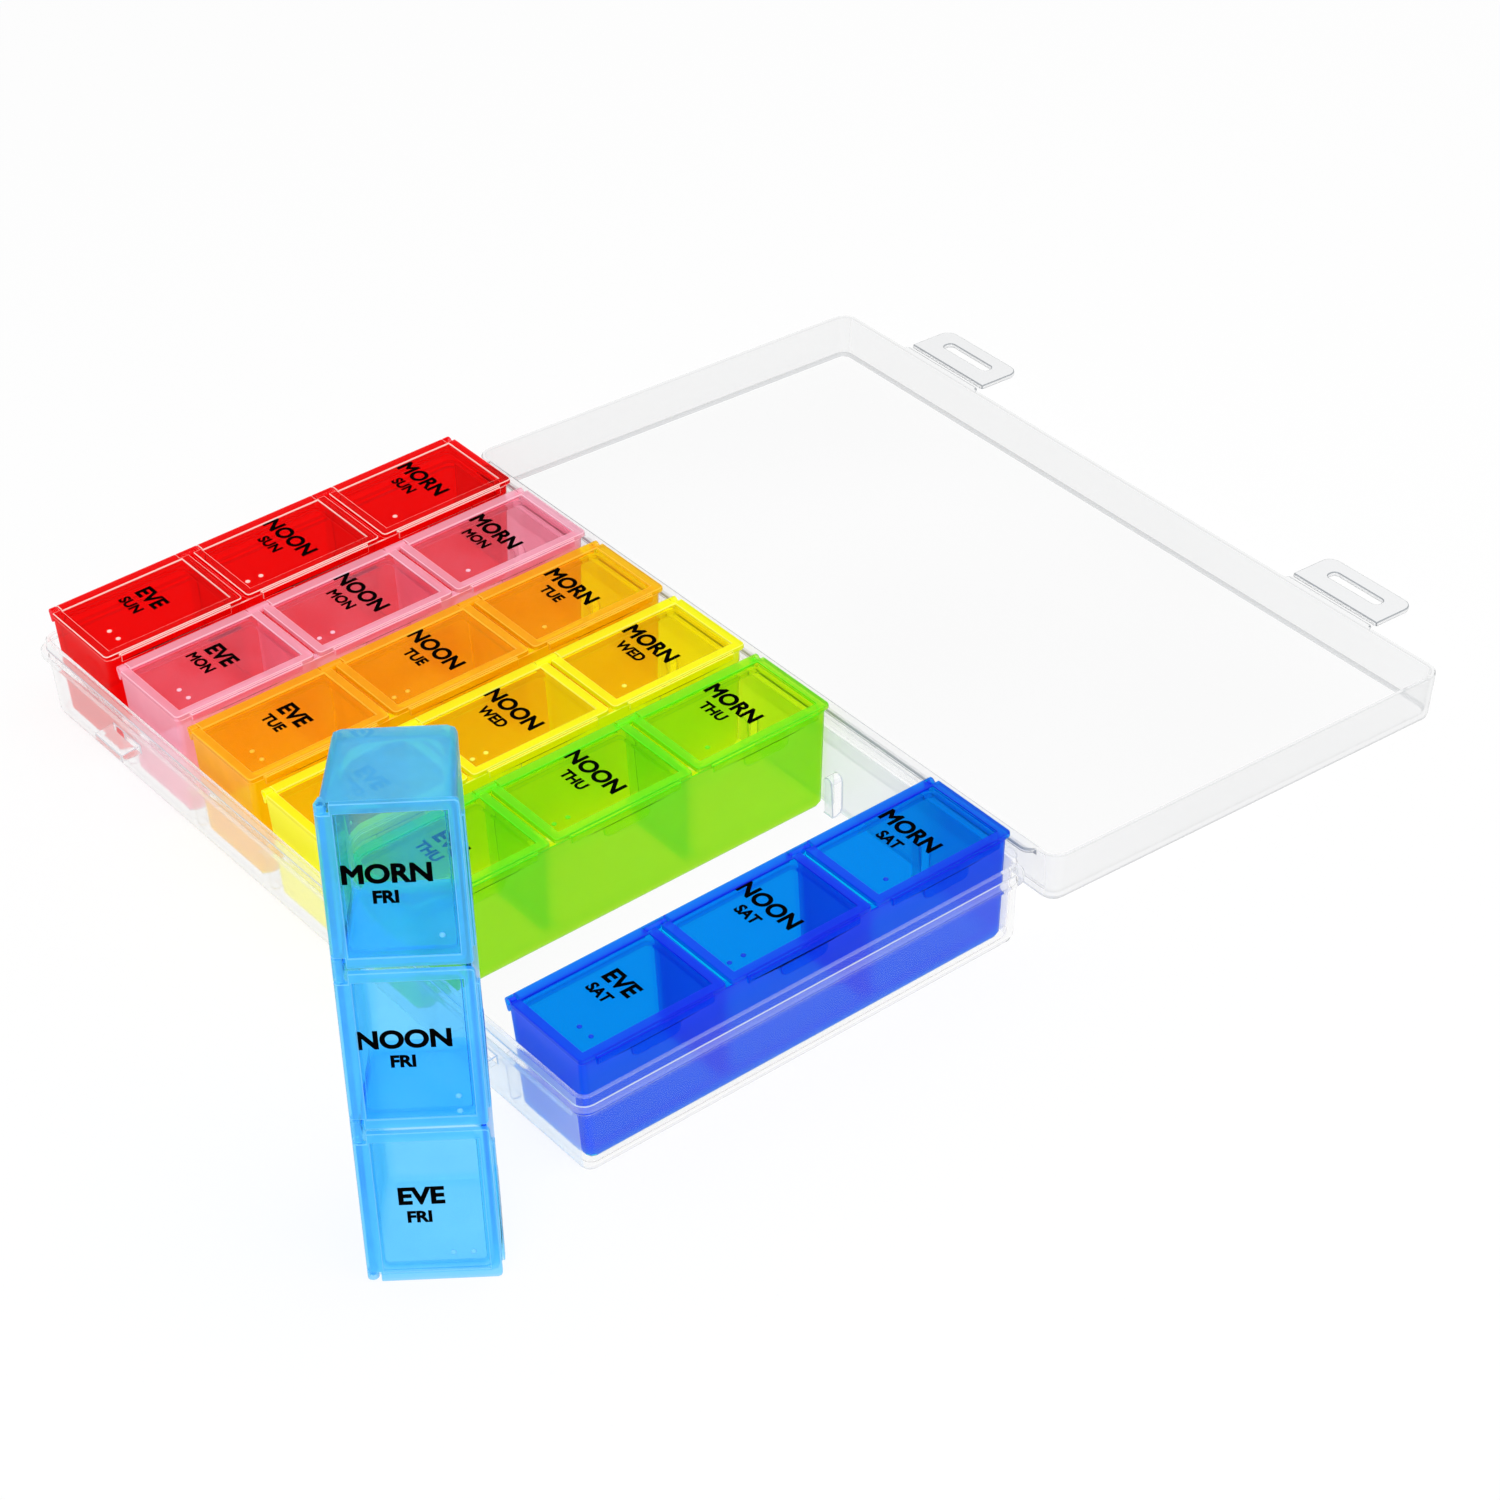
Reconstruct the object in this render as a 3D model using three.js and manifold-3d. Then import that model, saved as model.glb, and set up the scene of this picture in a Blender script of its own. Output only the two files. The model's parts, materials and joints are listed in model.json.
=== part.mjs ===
// Weekly pill organizer: a clear hinged case that holds seven day boxes with three lidded pockets each.
// Millimetres. +X runs from the first day to the last, +Y from the latches to the hinge, +Z up.
// The origin is the centre of the tray's underside.
import * as THREE from 'three';
import { mergeVertices } from 'three/addons/utils/BufferGeometryUtils.js';
import Module from 'manifold-3d';

const wasm = await Module();
wasm.setup();

// Week and colours
const dayColours = {
  sun: 0xd8141c,
  mon: 0xe8688c,
  tue: 0xff9a10,
  wed: 0xffd400,
  thu: 0x76d21a,
  fri: 0x3aa8f0,
  sat: 0x0a50e0,
};
const caseColour = 0xe9edf0;
const looseDay = 'fri';
const times = ['eve', 'noon', 'morn'];

// Compartment lid
const lidWidth = 27.2;
const lidLength = 37.7;
const lidPlate = 1.3;
const lidCornerRadius = 0.9;
const lidRimBand = 2.3;
const lidFieldDepth = 0.35;
const barrelRadius = 1.2;
const pinRadius = 0.5;
const pinReach = 1.4;
const plugInset = 2.05;
const plugDepth = 1.4;
const plugWall = 0.9;
const stripReach = 0.7;
const stripDepth = 2;
const stripDrop = 0.5;
const stripShare = 0.8;
const tabThickness = 0.7;
const tabDrop = 3.2;
const tabShare = 0.34;
const tabCornerRadius = 1.8;
const gapBetweenDays = 3.8;
const gapBetweenTimes = 1.3;

// Day box
const boxHeight = 27.4;
const boxWall = 1.1;
const boxFloor = 1.2;
const boxDraft = 1.1;
const boxCornerRadius = 1.6;
const boxFootRound = 1.2;
const partition = 1.2;
const partitionDraft = 0.3;
const pocketFillet = 2.4;
const lidOverhang = 0.5;
const earNotch = 2.4;
const pinHoleRadius = 0.75;

// Clearances between pieces
const seatGap = 0.3;
const boxClearance = 1.2;
const closeClearance = 0.4;
const headroom = 1.2;

// Tray
const trayFloor = 1.4;
const trayWall = 1.1;
const trayDraft = 1;
const lipHeight = 22.3;
const lipChamfer = 0.25;
const lipRise = 2.5;
const shoulderDepth = 2.2;
const shoulderRound = 0.5;
const caseCornerRadius = 4.5;
const trayFootRound = 2.5;
const trayFloorFillet = 1.6;
const dividerWidth = 3;
const dividerReach = 2.6;
const dividerHeight = 12;
const catchWidth = 12;
const catchHeight = 2.4;
const catchReach = 1;

// Case lid, its hinge and its latches
const caseLidWall = 1.1;
const caseLidTop = 1.2;
const caseLidDraft = 0.8;
const caseLidFillet = 1.6;
const flangeReach = 2.2;
const flangeThickness = 1.2;
const flangeEndInset = 6;
const flangeCornerRadius = 2.6;
const webWidth = 1;
const webThickness = 0.45;
const latchSpacing = 143;
const latchWidth = 28;
const latchLength = 12.8;
const latchThickness = 1.2;
const latchCornerRadius = 3;
const ledgeReach = 1;
const slotLength = 17;
const slotWidth = 3.3;
const slotCornerRadius = 1.4;
const slotSetback = 5.4;

// Where the box that was taken out stands, on its end, turned to face the reader
const looseBoxX = 85.5;
const looseBoxY = -80.4;
const looseBoxTurn = THREE.MathUtils.degToRad(53.2);
const tableGap = 0.05;

// Facets
const smallCornerSteps = 2;
const caseCornerSteps = 5;
const barrelSides = 12;
const holeSides = 8;
const overrun = 1;

// Sizes that follow
const days = Object.keys(dayColours);
const dayPitch = lidWidth + gapBetweenDays;
const timePitch = lidLength + gapBetweenTimes;
const halfWeek = ((days.length - 1) / 2) * dayPitch;
const lidHalfWidth = lidWidth / 2;
const lidHalfLength = lidLength / 2;
const boxHalfWidth = lidHalfWidth - lidOverhang;
const boxHalfLength = ((times.length - 1) / 2) * timePitch + lidHalfLength - lidOverhang;
const hingeX = barrelRadius - lidHalfWidth;
const lidUnderside = boxHeight + seatGap;
const lidTop = lidUnderside + lidPlate;
const hingeLift = lidTop - barrelRadius;
const barrelHalf = lidHalfLength - earNotch;

const lipX = halfWeek + boxHalfWidth + boxClearance + trayWall;
const lipY = boxHalfLength + boxClearance + trayWall;
const rimStep = closeClearance + caseLidWall;
const rimX = lipX + rimStep;
const rimY = lipY + rimStep;
const shoulderTop = lipHeight - lipRise;
const caseLidDepth = trayFloor + seatGap + lidTop + headroom + caseLidTop - shoulderTop - seatGap;
const webSlot = webWidth + seatGap + seatGap;
const axisY = rimY + flangeReach + webSlot / 2;
const axisZ = shoulderTop + seatGap / 2;

// The angle past flat at which the open lid's far edge reaches the table
const lidFarReach = axisY + rimY - caseLidDraft - caseLidFillet;
const lidLowReach = caseLidDepth + seatGap / 2;
const lidSpan = Math.hypot(lidFarReach, lidLowReach);
const lidDroop = Math.asin((axisZ - tableGap) / lidSpan) - Math.atan2(lidLowReach, lidFarReach);

// Solids

function solid(geometry) {
  const bare = geometry.clone();
  bare.deleteAttribute('normal');
  bare.deleteAttribute('uv');
  const merged = mergeVertices(bare);
  const vertProperties = Float32Array.from(merged.getAttribute('position').array);
  const triVerts = Uint32Array.from(merged.index.array);
  return new wasm.Manifold(new wasm.Mesh({ numProp: 3, vertProperties, triVerts }));
}

function join(...parts) {
  return parts.reduce((whole, part) => whole.add(part));
}

function toGeometry(manifold) {
  const mesh = manifold.getMesh();
  const geometry = new THREE.BufferGeometry();
  geometry.setAttribute('position', new THREE.BufferAttribute(mesh.vertProperties, 3));
  geometry.setIndex(new THREE.BufferAttribute(mesh.triVerts, 1));
  const facets = geometry.toNonIndexed();
  facets.computeVertexNormals();
  return facets;
}

function arc(centreX, centreY, radius, from, to, steps) {
  return Array.from({ length: steps + 1 }, (unused, step) => {
    const angle = THREE.MathUtils.lerp(from, to, step / steps);
    return new THREE.Vector2(centreX + radius * Math.cos(angle), centreY + radius * Math.sin(angle));
  });
}

const quarter = Math.PI / 2;

// A rounded rectangle between two corners, anticlockwise
function roundedRectangle(lowX, highX, lowY, highY, radius, steps) {
  return [
    ...arc(highX - radius, highY - radius, radius, 0, quarter, steps),
    ...arc(lowX + radius, highY - radius, radius, quarter, 2 * quarter, steps),
    ...arc(lowX + radius, lowY + radius, radius, 2 * quarter, 3 * quarter, steps),
    ...arc(highX - radius, lowY + radius, radius, 3 * quarter, 4 * quarter, steps),
  ];
}

// A closed solid through rings of equally many points: the first ring and the last are capped
function loft(rings) {
  const count = rings[0].points.length;
  const positions = rings.flatMap(({ points, z }) => points.flatMap((point) => [point.x, point.y, z]));
  const faces = [];
  for (let corner = 1; corner < count - 1; corner += 1) {
    faces.push(0, corner + 1, corner);
  }
  for (let ring = 0; ring < rings.length - 1; ring += 1) {
    for (let corner = 0; corner < count; corner += 1) {
      const next = (corner + 1) % count;
      const low = ring * count;
      const high = low + count;
      faces.push(low + corner, low + next, high + next);
      faces.push(low + corner, high + next, high + corner);
    }
  }
  const last = (rings.length - 1) * count;
  for (let corner = 1; corner < count - 1; corner += 1) {
    faces.push(last, last + corner, last + corner + 1);
  }
  const geometry = new THREE.BufferGeometry();
  geometry.setAttribute('position', new THREE.Float32BufferAttribute(positions, 3));
  geometry.setIndex(faces);
  return solid(geometry);
}

// Insets and heights along a quarter round that starts flat and ends upright
function quarterRound(radius, steps) {
  return Array.from({ length: steps + 1 }, (unused, step) => {
    const angle = quarter * (step / steps);
    return { inset: radius * (1 - Math.sin(angle)), rise: radius * (1 - Math.cos(angle)) };
  });
}

function block(lowX, highX, lowY, highY, lowZ, highZ) {
  const geometry = new THREE.BoxGeometry(highX - lowX, highY - lowY, highZ - lowZ);
  geometry.translate((lowX + highX) / 2, (lowY + highY) / 2, (lowZ + highZ) / 2);
  return solid(geometry);
}

function plate(outline, lowZ, highZ, holes = []) {
  const shape = new THREE.Shape(outline);
  shape.holes = holes.map((hole) => new THREE.Path(hole));
  const geometry = new THREE.ExtrudeGeometry(shape, { depth: highZ - lowZ, bevelEnabled: false });
  geometry.translate(0, 0, lowZ);
  return solid(geometry);
}

function rodAlongY(x, z, radius, lowY, highY, sides) {
  const geometry = new THREE.CylinderGeometry(radius, radius, highY - lowY, sides);
  geometry.translate(x, (lowY + highY) / 2, z);
  return solid(geometry);
}

// An outline drawn in X and Z, carried along Y
function barAlongY(outline, lowY, highY) {
  const geometry = new THREE.ExtrudeGeometry(new THREE.Shape(outline), {
    depth: highY - lowY,
    bevelEnabled: false,
  });
  geometry.rotateX(quarter);
  geometry.translate(0, highY, 0);
  return solid(geometry);
}

// An outline drawn in Y and Z, carried along X
function barAlongX(outline, lowX, highX) {
  const geometry = new THREE.ExtrudeGeometry(new THREE.Shape(outline), {
    depth: highX - lowX,
    bevelEnabled: false,
  });
  geometry.rotateX(quarter);
  geometry.rotateZ(quarter);
  geometry.translate(lowX, 0, 0);
  return solid(geometry);
}

function plastic(colour, roughness, opacity) {
  return new THREE.MeshStandardMaterial({
    color: colour,
    roughness,
    metalness: 0,
    transparent: true,
    opacity,
  });
}

function piece(name, geometry, material) {
  const mesh = new THREE.Mesh(geometry, material);
  mesh.name = name;
  return mesh;
}

// Compartment lid, in its day box's frame, for the pocket at the middle

function lidOutline() {
  const notchX = hingeX + barrelRadius + lidOverhang;
  const cornerX = lidHalfWidth - lidCornerRadius;
  const cornerY = lidHalfLength - lidCornerRadius;
  const steps = smallCornerSteps;
  return [
    new THREE.Vector2(hingeX, -barrelHalf),
    new THREE.Vector2(notchX, -barrelHalf),
    new THREE.Vector2(notchX, -lidHalfLength),
    ...arc(cornerX, -cornerY, lidCornerRadius, -quarter, 0, steps),
    ...arc(cornerX, cornerY, lidCornerRadius, 0, quarter, steps),
    new THREE.Vector2(notchX, lidHalfLength),
    new THREE.Vector2(notchX, barrelHalf),
    new THREE.Vector2(hingeX, barrelHalf),
  ];
}

function lidSolid() {
  const top = plate(lidOutline(), lidUnderside, lidTop);
  const barrel = rodAlongY(hingeX, hingeLift, barrelRadius, -barrelHalf, barrelHalf, barrelSides);
  const pinHalf = barrelHalf + pinReach;
  const pins = rodAlongY(hingeX, hingeLift, pinRadius, -pinHalf, pinHalf, holeSides);

  const plugBack = hingeX + barrelRadius + lidOverhang;
  const plugFront = lidHalfWidth - plugInset;
  const plugHalf = lidHalfLength - plugInset;
  const plugCorner = boxCornerRadius;
  const plugHole = roundedRectangle(
    plugBack + plugWall,
    plugFront - plugWall,
    plugWall - plugHalf,
    plugHalf - plugWall,
    plugCorner - plugWall,
    1,
  );
  const plugOutline = roundedRectangle(plugBack, plugFront, -plugHalf, plugHalf, plugCorner, 1);
  const plug = plate(plugOutline, lidUnderside - plugDepth, lidUnderside + lidPlate / 2, [plugHole]);

  const skin = boxHalfWidth + seatGap;
  const stripHalf = lidHalfLength * stripShare;
  const stripFront = lidHalfWidth + stripReach;
  const stripTop = lidTop - stripDrop;
  const strip = block(skin, stripFront, -stripHalf, stripHalf, stripTop - stripDepth, stripTop);
  // The thumb tab hangs from the strip in front of the wall, with its lower corners rounded
  const tabHalf = lidHalfLength * tabShare;
  const tabTop = stripTop - stripDepth / 2;
  const tabBottom = stripTop - stripDepth - tabDrop;
  const tabCornerY = tabHalf - tabCornerRadius;
  const tabCornerZ = tabBottom + tabCornerRadius;
  const steps = smallCornerSteps + 1;
  const tabOutline = [
    new THREE.Vector2(tabHalf, tabTop),
    new THREE.Vector2(-tabHalf, tabTop),
    ...arc(-tabCornerY, tabCornerZ, tabCornerRadius, 2 * quarter, 3 * quarter, steps),
    ...arc(tabCornerY, tabCornerZ, tabCornerRadius, 3 * quarter, 4 * quarter, steps),
  ];
  const tab = barAlongX(tabOutline, skin, skin + tabThickness);

  const field = block(
    hingeX + lidRimBand,
    lidHalfWidth - lidRimBand,
    lidRimBand - lidHalfLength,
    lidHalfLength - lidRimBand,
    lidTop - lidFieldDepth,
    lidTop + overrun,
  );
  return join(top, barrel, pins, plug, strip, tab).subtract(field);
}

// Day box, with the origin at the middle of its foot

function boxRing(inset, z) {
  const sideX = boxHalfWidth - inset;
  const endY = boxHalfLength - inset;
  return {
    points: roundedRectangle(-sideX, sideX, -endY, endY, boxCornerRadius, smallCornerSteps),
    z,
  };
}

// How far a wall stands in from the mouth at a height, as the box narrows to its foot
function boxInsetAt(z) {
  return boxDraft * (1 - z / boxHeight);
}

function boxShell() {
  const foot = quarterRound(boxFootRound, smallCornerSteps);
  const rounds = foot.map(({ inset, rise }) => boxRing(boxInsetAt(rise) + inset, rise));
  return loft([...rounds, boxRing(0, boxHeight)]);
}

// One pocket: its outer walls follow the box, and its partitions thicken a little towards the floor
function pocket(index) {
  const firstEdge = (index - times.length / 2) * timePitch;
  const isFirst = index === 0;
  const isLast = index === times.length - 1;
  const wallY = boxHalfLength - boxWall;
  const lowMouth = isFirst ? -wallY : firstEdge + partition / 2;
  const highMouth = isLast ? wallY : firstEdge + timePitch - partition / 2;
  const lowDraft = isFirst ? boxDraft : partitionDraft;
  const highDraft = isLast ? boxDraft : partitionDraft;
  const wallX = boxHalfWidth - boxWall;
  const ring = (inset, z) => {
    const share = 1 - z / boxHeight;
    const side = wallX - boxDraft * share - inset;
    const low = lowMouth + lowDraft * share + inset;
    const high = highMouth - highDraft * share - inset;
    return {
      points: roundedRectangle(-side, side, low, high, boxCornerRadius, smallCornerSteps),
      z,
    };
  };
  const floor = quarterRound(pocketFillet, smallCornerSteps);
  const rounds = floor.map(({ inset, rise }) => ring(inset, boxFloor + rise));
  return loft([...rounds, ring(0, boxHeight), ring(0, boxHeight + overrun)]);
}

// The ears that carry the lid's pins: round over the axis and tapered down into the wall
function earOutline() {
  const wallMiddle = -boxHalfWidth + boxWall / 2;
  const root = boxWall / 4;
  const rootLift = hingeLift - barrelRadius - barrelRadius;
  return [
    new THREE.Vector2(wallMiddle - root, rootLift),
    new THREE.Vector2(wallMiddle + root, rootLift),
    ...arc(hingeX, hingeLift, barrelRadius, 0, Math.PI, barrelSides / 2),
  ];
}

function dayBox() {
  const pockets = times.map((time, index) => pocket(index));
  const ears = barAlongY(earOutline(), -boxHalfLength, boxHalfLength);
  const slots = times.map((time, index) => {
    const middle = (index - (times.length - 1) / 2) * timePitch;
    const half = barrelHalf + seatGap;
    const back = -lidHalfWidth - overrun;
    const front = hingeX + barrelRadius + seatGap;
    const bottom = hingeLift - barrelRadius - seatGap;
    return block(back, front, middle - half, middle + half, bottom, lidTop + overrun);
  });
  const holeReach = boxHalfLength + overrun;
  const pinHole = rodAlongY(hingeX, hingeLift, pinHoleRadius, -holeReach, holeReach, holeSides);
  const opened = join(boxShell(), ears).subtract(join(...slots)).subtract(pinHole);
  return opened.subtract(join(...pockets));
}

// Tray

function caseRing(inset, z) {
  const halfX = rimX - inset;
  const halfY = rimY - inset;
  const radius = caseCornerRadius - Math.min(inset, caseCornerRadius / 2);
  return { points: roundedRectangle(-halfX, halfX, -halfY, halfY, radius, caseCornerSteps), z };
}

function trayInsetAt(z) {
  return rimStep + trayDraft * (1 - Math.min(z / shoulderTop, 1));
}

function trayShell() {
  const underShoulder = shoulderTop - shoulderDepth;
  const inner = rimStep + trayWall;
  const foot = quarterRound(trayFootRound, smallCornerSteps + 1);
  const fillet = quarterRound(trayFloorFillet, smallCornerSteps).reverse();
  return loft([
    ...foot.map(({ inset, rise }) => caseRing(trayInsetAt(rise) + inset, rise)),
    caseRing(trayInsetAt(underShoulder), underShoulder),
    caseRing(shoulderRound, underShoulder),
    caseRing(0, underShoulder + shoulderRound),
    caseRing(0, shoulderTop - shoulderRound),
    caseRing(shoulderRound, shoulderTop),
    caseRing(rimStep, shoulderTop),
    caseRing(rimStep, lipHeight - lipChamfer),
    caseRing(rimStep + lipChamfer, lipHeight),
    caseRing(inner - lipChamfer, lipHeight),
    caseRing(inner, lipHeight - lipChamfer),
    ...fillet.map(({ inset, rise }) => {
      const lift = trayFloor + rise;
      return caseRing(trayInsetAt(lift) + trayWall + inset, lift);
    }),
  ]);
}

// A short round-topped divider on the latch-side wall, between two neighbouring boxes
function divider(middleX) {
  const half = dividerWidth / 2;
  const arch = arc(middleX, dividerHeight - half, half, 0, Math.PI, 2 * smallCornerSteps);
  const outline = [
    new THREE.Vector2(middleX - half, trayFloor / 2),
    new THREE.Vector2(middleX + half, trayFloor / 2),
    ...arch,
  ];
  const innerFoot = rimY - trayInsetAt(0) - trayWall;
  const root = rimY - trayInsetAt(0) - trayWall / 2;
  return barAlongY(outline, -root, dividerReach - innerFoot);
}

// The catch that a latch's slot drops over, wedge-shaped so that the tab rides onto it
function catchWedge(middleX) {
  const lift = latchFoldLift() - slotMiddle();
  const wallY = -(rimY - trayInsetAt(lift)) + trayWall / 2;
  const noseY = -(latchFoldY() + latchThickness / 2 + catchReach);
  const half = catchHeight / 2;
  const outline = [
    new THREE.Vector2(wallY, lift - half),
    new THREE.Vector2(wallY, lift + half),
    new THREE.Vector2(noseY, lift + half / 2),
    new THREE.Vector2(noseY, lift - half),
  ];
  return barAlongX(outline.reverse(), middleX - catchWidth / 2, middleX + catchWidth / 2);
}

function hingeFlange(lowY, highY, lowZ, highZ) {
  const half = rimX - flangeEndInset;
  const steps = smallCornerSteps + 1;
  const radius = flangeCornerRadius;
  return plate(
    [
      new THREE.Vector2(-half, lowY),
      new THREE.Vector2(half, lowY),
      ...arc(half - radius, highY - radius, radius, 0, quarter, steps),
      ...arc(radius - half, highY - radius, radius, quarter, 2 * quarter, steps),
    ],
    lowZ,
    highZ,
  );
}

function traySolid() {
  const boundaries = days.slice(1).map((day, index) => (index + 1) * dayPitch - dayPitch / 2 - halfWeek);
  const nearDividers = boundaries.map((x) => divider(x));
  const farDividers = nearDividers.map((near) => near.mirror([0, 1, 0]));
  const catches = [-latchSpacing / 2, latchSpacing / 2].map((x) => catchWedge(x));
  const flangeRoot = rimY - shoulderRound - trayWall;
  const flangeBottom = shoulderTop - flangeThickness;
  const flange = hingeFlange(flangeRoot, rimY + flangeReach, flangeBottom, shoulderTop);
  return join(trayShell(), flange, ...nearDividers, ...farDividers, ...catches);
}

// Case lid, open, in a frame whose origin lies on its hinge axis

const lidNearY = axisY - rimY;
const lidMiddleY = lidNearY + rimY;
const lidRimZ = -seatGap / 2;

function latchFoldY() {
  return rimY + ledgeReach + webSlot / 2;
}

// Height of the latch's fold above the tray's foot when the lid is shut
function latchFoldLift() {
  return axisZ + seatGap / 2 + latchThickness / 2;
}

// Distance from the fold to the middle of the latch's slot
function slotMiddle() {
  return webSlot / 2 + slotSetback + slotWidth / 2;
}

function caseLidShell() {
  const foot = quarterRound(caseLidFillet, smallCornerSteps + 1);
  const fillet = quarterRound(caseLidFillet, smallCornerSteps).reverse();
  const bottom = lidRimZ - caseLidDepth;
  const insetAt = (rise) => caseLidDraft * (1 - rise / caseLidDepth);
  const ringAt = (inset, rise) => caseRing(inset, bottom + rise);
  const inner = caseLidWall;
  return loft([
    ...foot.map(({ inset, rise }) => ringAt(insetAt(rise) + inset, rise)),
    ringAt(0, caseLidDepth - lipChamfer),
    ringAt(lipChamfer, caseLidDepth),
    ringAt(inner - lipChamfer, caseLidDepth),
    ringAt(inner, caseLidDepth - lipChamfer),
    ...fillet.map(({ inset, rise }) => {
      const lift = caseLidTop + rise;
      return ringAt(insetAt(lift) + inner + inset, lift);
    }),
  ]).translate([0, lidMiddleY, 0]);
}

function latchLedge(middleX) {
  const farWall = lidMiddleY + rimY;
  const root = farWall - caseLidWall / 2;
  const low = middleX - latchWidth / 2;
  const bottom = lidRimZ - latchThickness;
  return block(low, low + latchWidth, root, farWall + ledgeReach, bottom, lidRimZ);
}

function caseLidSolid() {
  const flangeRoot = -lidNearY - shoulderRound - caseLidWall / 2;
  const flange = hingeFlange(flangeRoot, -webSlot / 2, lidRimZ - flangeThickness, lidRimZ);
  const ledges = [-latchSpacing / 2, latchSpacing / 2].map((x) => latchLedge(x));
  return join(caseLidShell(), flange.mirror([0, 1, 0]), ...ledges);
}

// Slotted latch, lying flat as in the open case, in a frame whose origin lies on its fold
function latchSolid() {
  const half = latchWidth / 2;
  const near = webSlot / 2;
  const far = near + latchLength;
  const radius = latchCornerRadius;
  const slot = roundedRectangle(
    -slotLength / 2,
    slotLength / 2,
    slotMiddle() - slotWidth / 2,
    slotMiddle() + slotWidth / 2,
    slotCornerRadius,
    smallCornerSteps,
  );
  const steps = smallCornerSteps + 1;
  const outline = [
    new THREE.Vector2(-half, near),
    new THREE.Vector2(half, near),
    ...arc(half - radius, far - radius, radius, 0, quarter, steps),
    ...arc(radius - half, far - radius, radius, quarter, 2 * quarter, steps),
  ];
  const tab = plate(outline, -latchThickness / 2, latchThickness / 2, [slot]);
  const skin = webThickness / 2;
  const web = block(-half, half, seatGap - near, near + seatGap, -skin, skin);
  return join(tab, web);
}

// Assembly

const organizer = new THREE.Group();
const casePlastic = plastic(caseColour, 0.42, 0.35);

organizer.add(piece('tray', toGeometry(traySolid()), casePlastic.clone()));

const webHalfLength = rimX - flangeEndInset - flangeCornerRadius;
const webTop = shoulderTop - (flangeThickness - webThickness) / 2;
const webNearY = axisY - webWidth / 2;
const webFarY = axisY + webWidth / 2;
const webBottom = webTop - webThickness;
const web = block(-webHalfLength, webHalfLength, webNearY, webFarY, webBottom, webTop);
organizer.add(piece('living_hinge', toGeometry(web), casePlastic.clone()));

const lidFrame = new THREE.Group();
lidFrame.position.set(0, axisY, axisZ);
lidFrame.rotation.x = -lidDroop;
lidFrame.add(piece('case_lid', toGeometry(caseLidSolid()), casePlastic.clone()));
const latchGeometry = toGeometry(latchSolid());
const latchSides = { latch_left: -latchSpacing / 2, latch_right: latchSpacing / 2 };
for (const [name, x] of Object.entries(latchSides)) {
  const latch = piece(name, latchGeometry, casePlastic.clone());
  latch.position.set(x, axisY + latchFoldY(), lidRimZ - latchThickness / 2);
  lidFrame.add(latch);
}
organizer.add(lidFrame);

const boxGeometry = toGeometry(dayBox());
const lidGeometry = toGeometry(lidSolid());

// The loose box stands on its end wall, so it leans back by that wall's slope
const endWallSlope = Math.atan2(boxInsetAt(boxFootRound) + lidOverhang, lidUnderside - boxFootRound);

days.forEach((day, index) => {
  const dayFrame = new THREE.Group();
  if (day === looseDay) {
    const lean = quarter - endWallSlope;
    const footY = boxInsetAt(boxFootRound) - boxHalfLength;
    const lowest = footY * Math.sin(lean) + boxFootRound * Math.cos(lean);
    dayFrame.rotation.set(lean, 0, looseBoxTurn, 'ZYX');
    dayFrame.position.set(looseBoxX, looseBoxY, tableGap - lowest);
  } else {
    dayFrame.position.set(index * dayPitch - halfWeek, 0, trayFloor + seatGap);
  }
  dayFrame.add(piece(`box_${day}`, boxGeometry, plastic(dayColours[day], 0.25, 0.6)));
  times.forEach((time, slot) => {
    const lid = piece(`lid_${day}_${time}`, lidGeometry, plastic(dayColours[day], 0.18, 0.55));
    lid.position.y = (slot - (times.length - 1) / 2) * timePitch;
    dayFrame.add(lid);
  });
  organizer.add(dayFrame);
});

export default organizer;
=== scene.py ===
import json
import math

import bmesh
import bpy
from mathutils import Matrix, Vector
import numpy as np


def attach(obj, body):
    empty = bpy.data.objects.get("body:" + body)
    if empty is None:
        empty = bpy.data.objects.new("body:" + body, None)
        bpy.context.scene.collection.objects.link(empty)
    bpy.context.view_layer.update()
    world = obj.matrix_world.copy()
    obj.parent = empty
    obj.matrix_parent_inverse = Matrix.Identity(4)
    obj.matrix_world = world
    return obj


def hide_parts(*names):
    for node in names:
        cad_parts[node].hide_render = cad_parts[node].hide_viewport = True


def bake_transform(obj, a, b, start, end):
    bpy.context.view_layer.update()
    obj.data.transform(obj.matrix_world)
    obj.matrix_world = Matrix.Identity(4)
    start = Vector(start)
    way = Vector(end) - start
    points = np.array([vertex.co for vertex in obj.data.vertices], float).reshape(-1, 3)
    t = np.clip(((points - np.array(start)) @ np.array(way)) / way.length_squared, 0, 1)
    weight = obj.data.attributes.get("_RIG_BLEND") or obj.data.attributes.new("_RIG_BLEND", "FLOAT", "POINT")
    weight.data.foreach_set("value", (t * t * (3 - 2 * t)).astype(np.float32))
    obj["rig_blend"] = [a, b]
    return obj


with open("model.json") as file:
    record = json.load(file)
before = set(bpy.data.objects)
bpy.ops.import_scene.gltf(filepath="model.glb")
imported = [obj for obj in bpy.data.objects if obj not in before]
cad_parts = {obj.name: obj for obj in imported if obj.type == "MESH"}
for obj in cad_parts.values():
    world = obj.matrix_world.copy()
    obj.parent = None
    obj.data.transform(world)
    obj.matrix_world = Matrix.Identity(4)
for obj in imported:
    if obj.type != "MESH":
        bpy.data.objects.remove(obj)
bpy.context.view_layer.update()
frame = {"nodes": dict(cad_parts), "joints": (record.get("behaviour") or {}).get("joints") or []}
nodes = frame["nodes"]
print("frame loaded:", len(nodes), "nodes")

mm = 0.001
days = ["sun", "mon", "tue", "wed", "thu", "fri", "sat"]
times = ["eve", "noon", "morn"]


# Camera at the photograph's viewing angle

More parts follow.
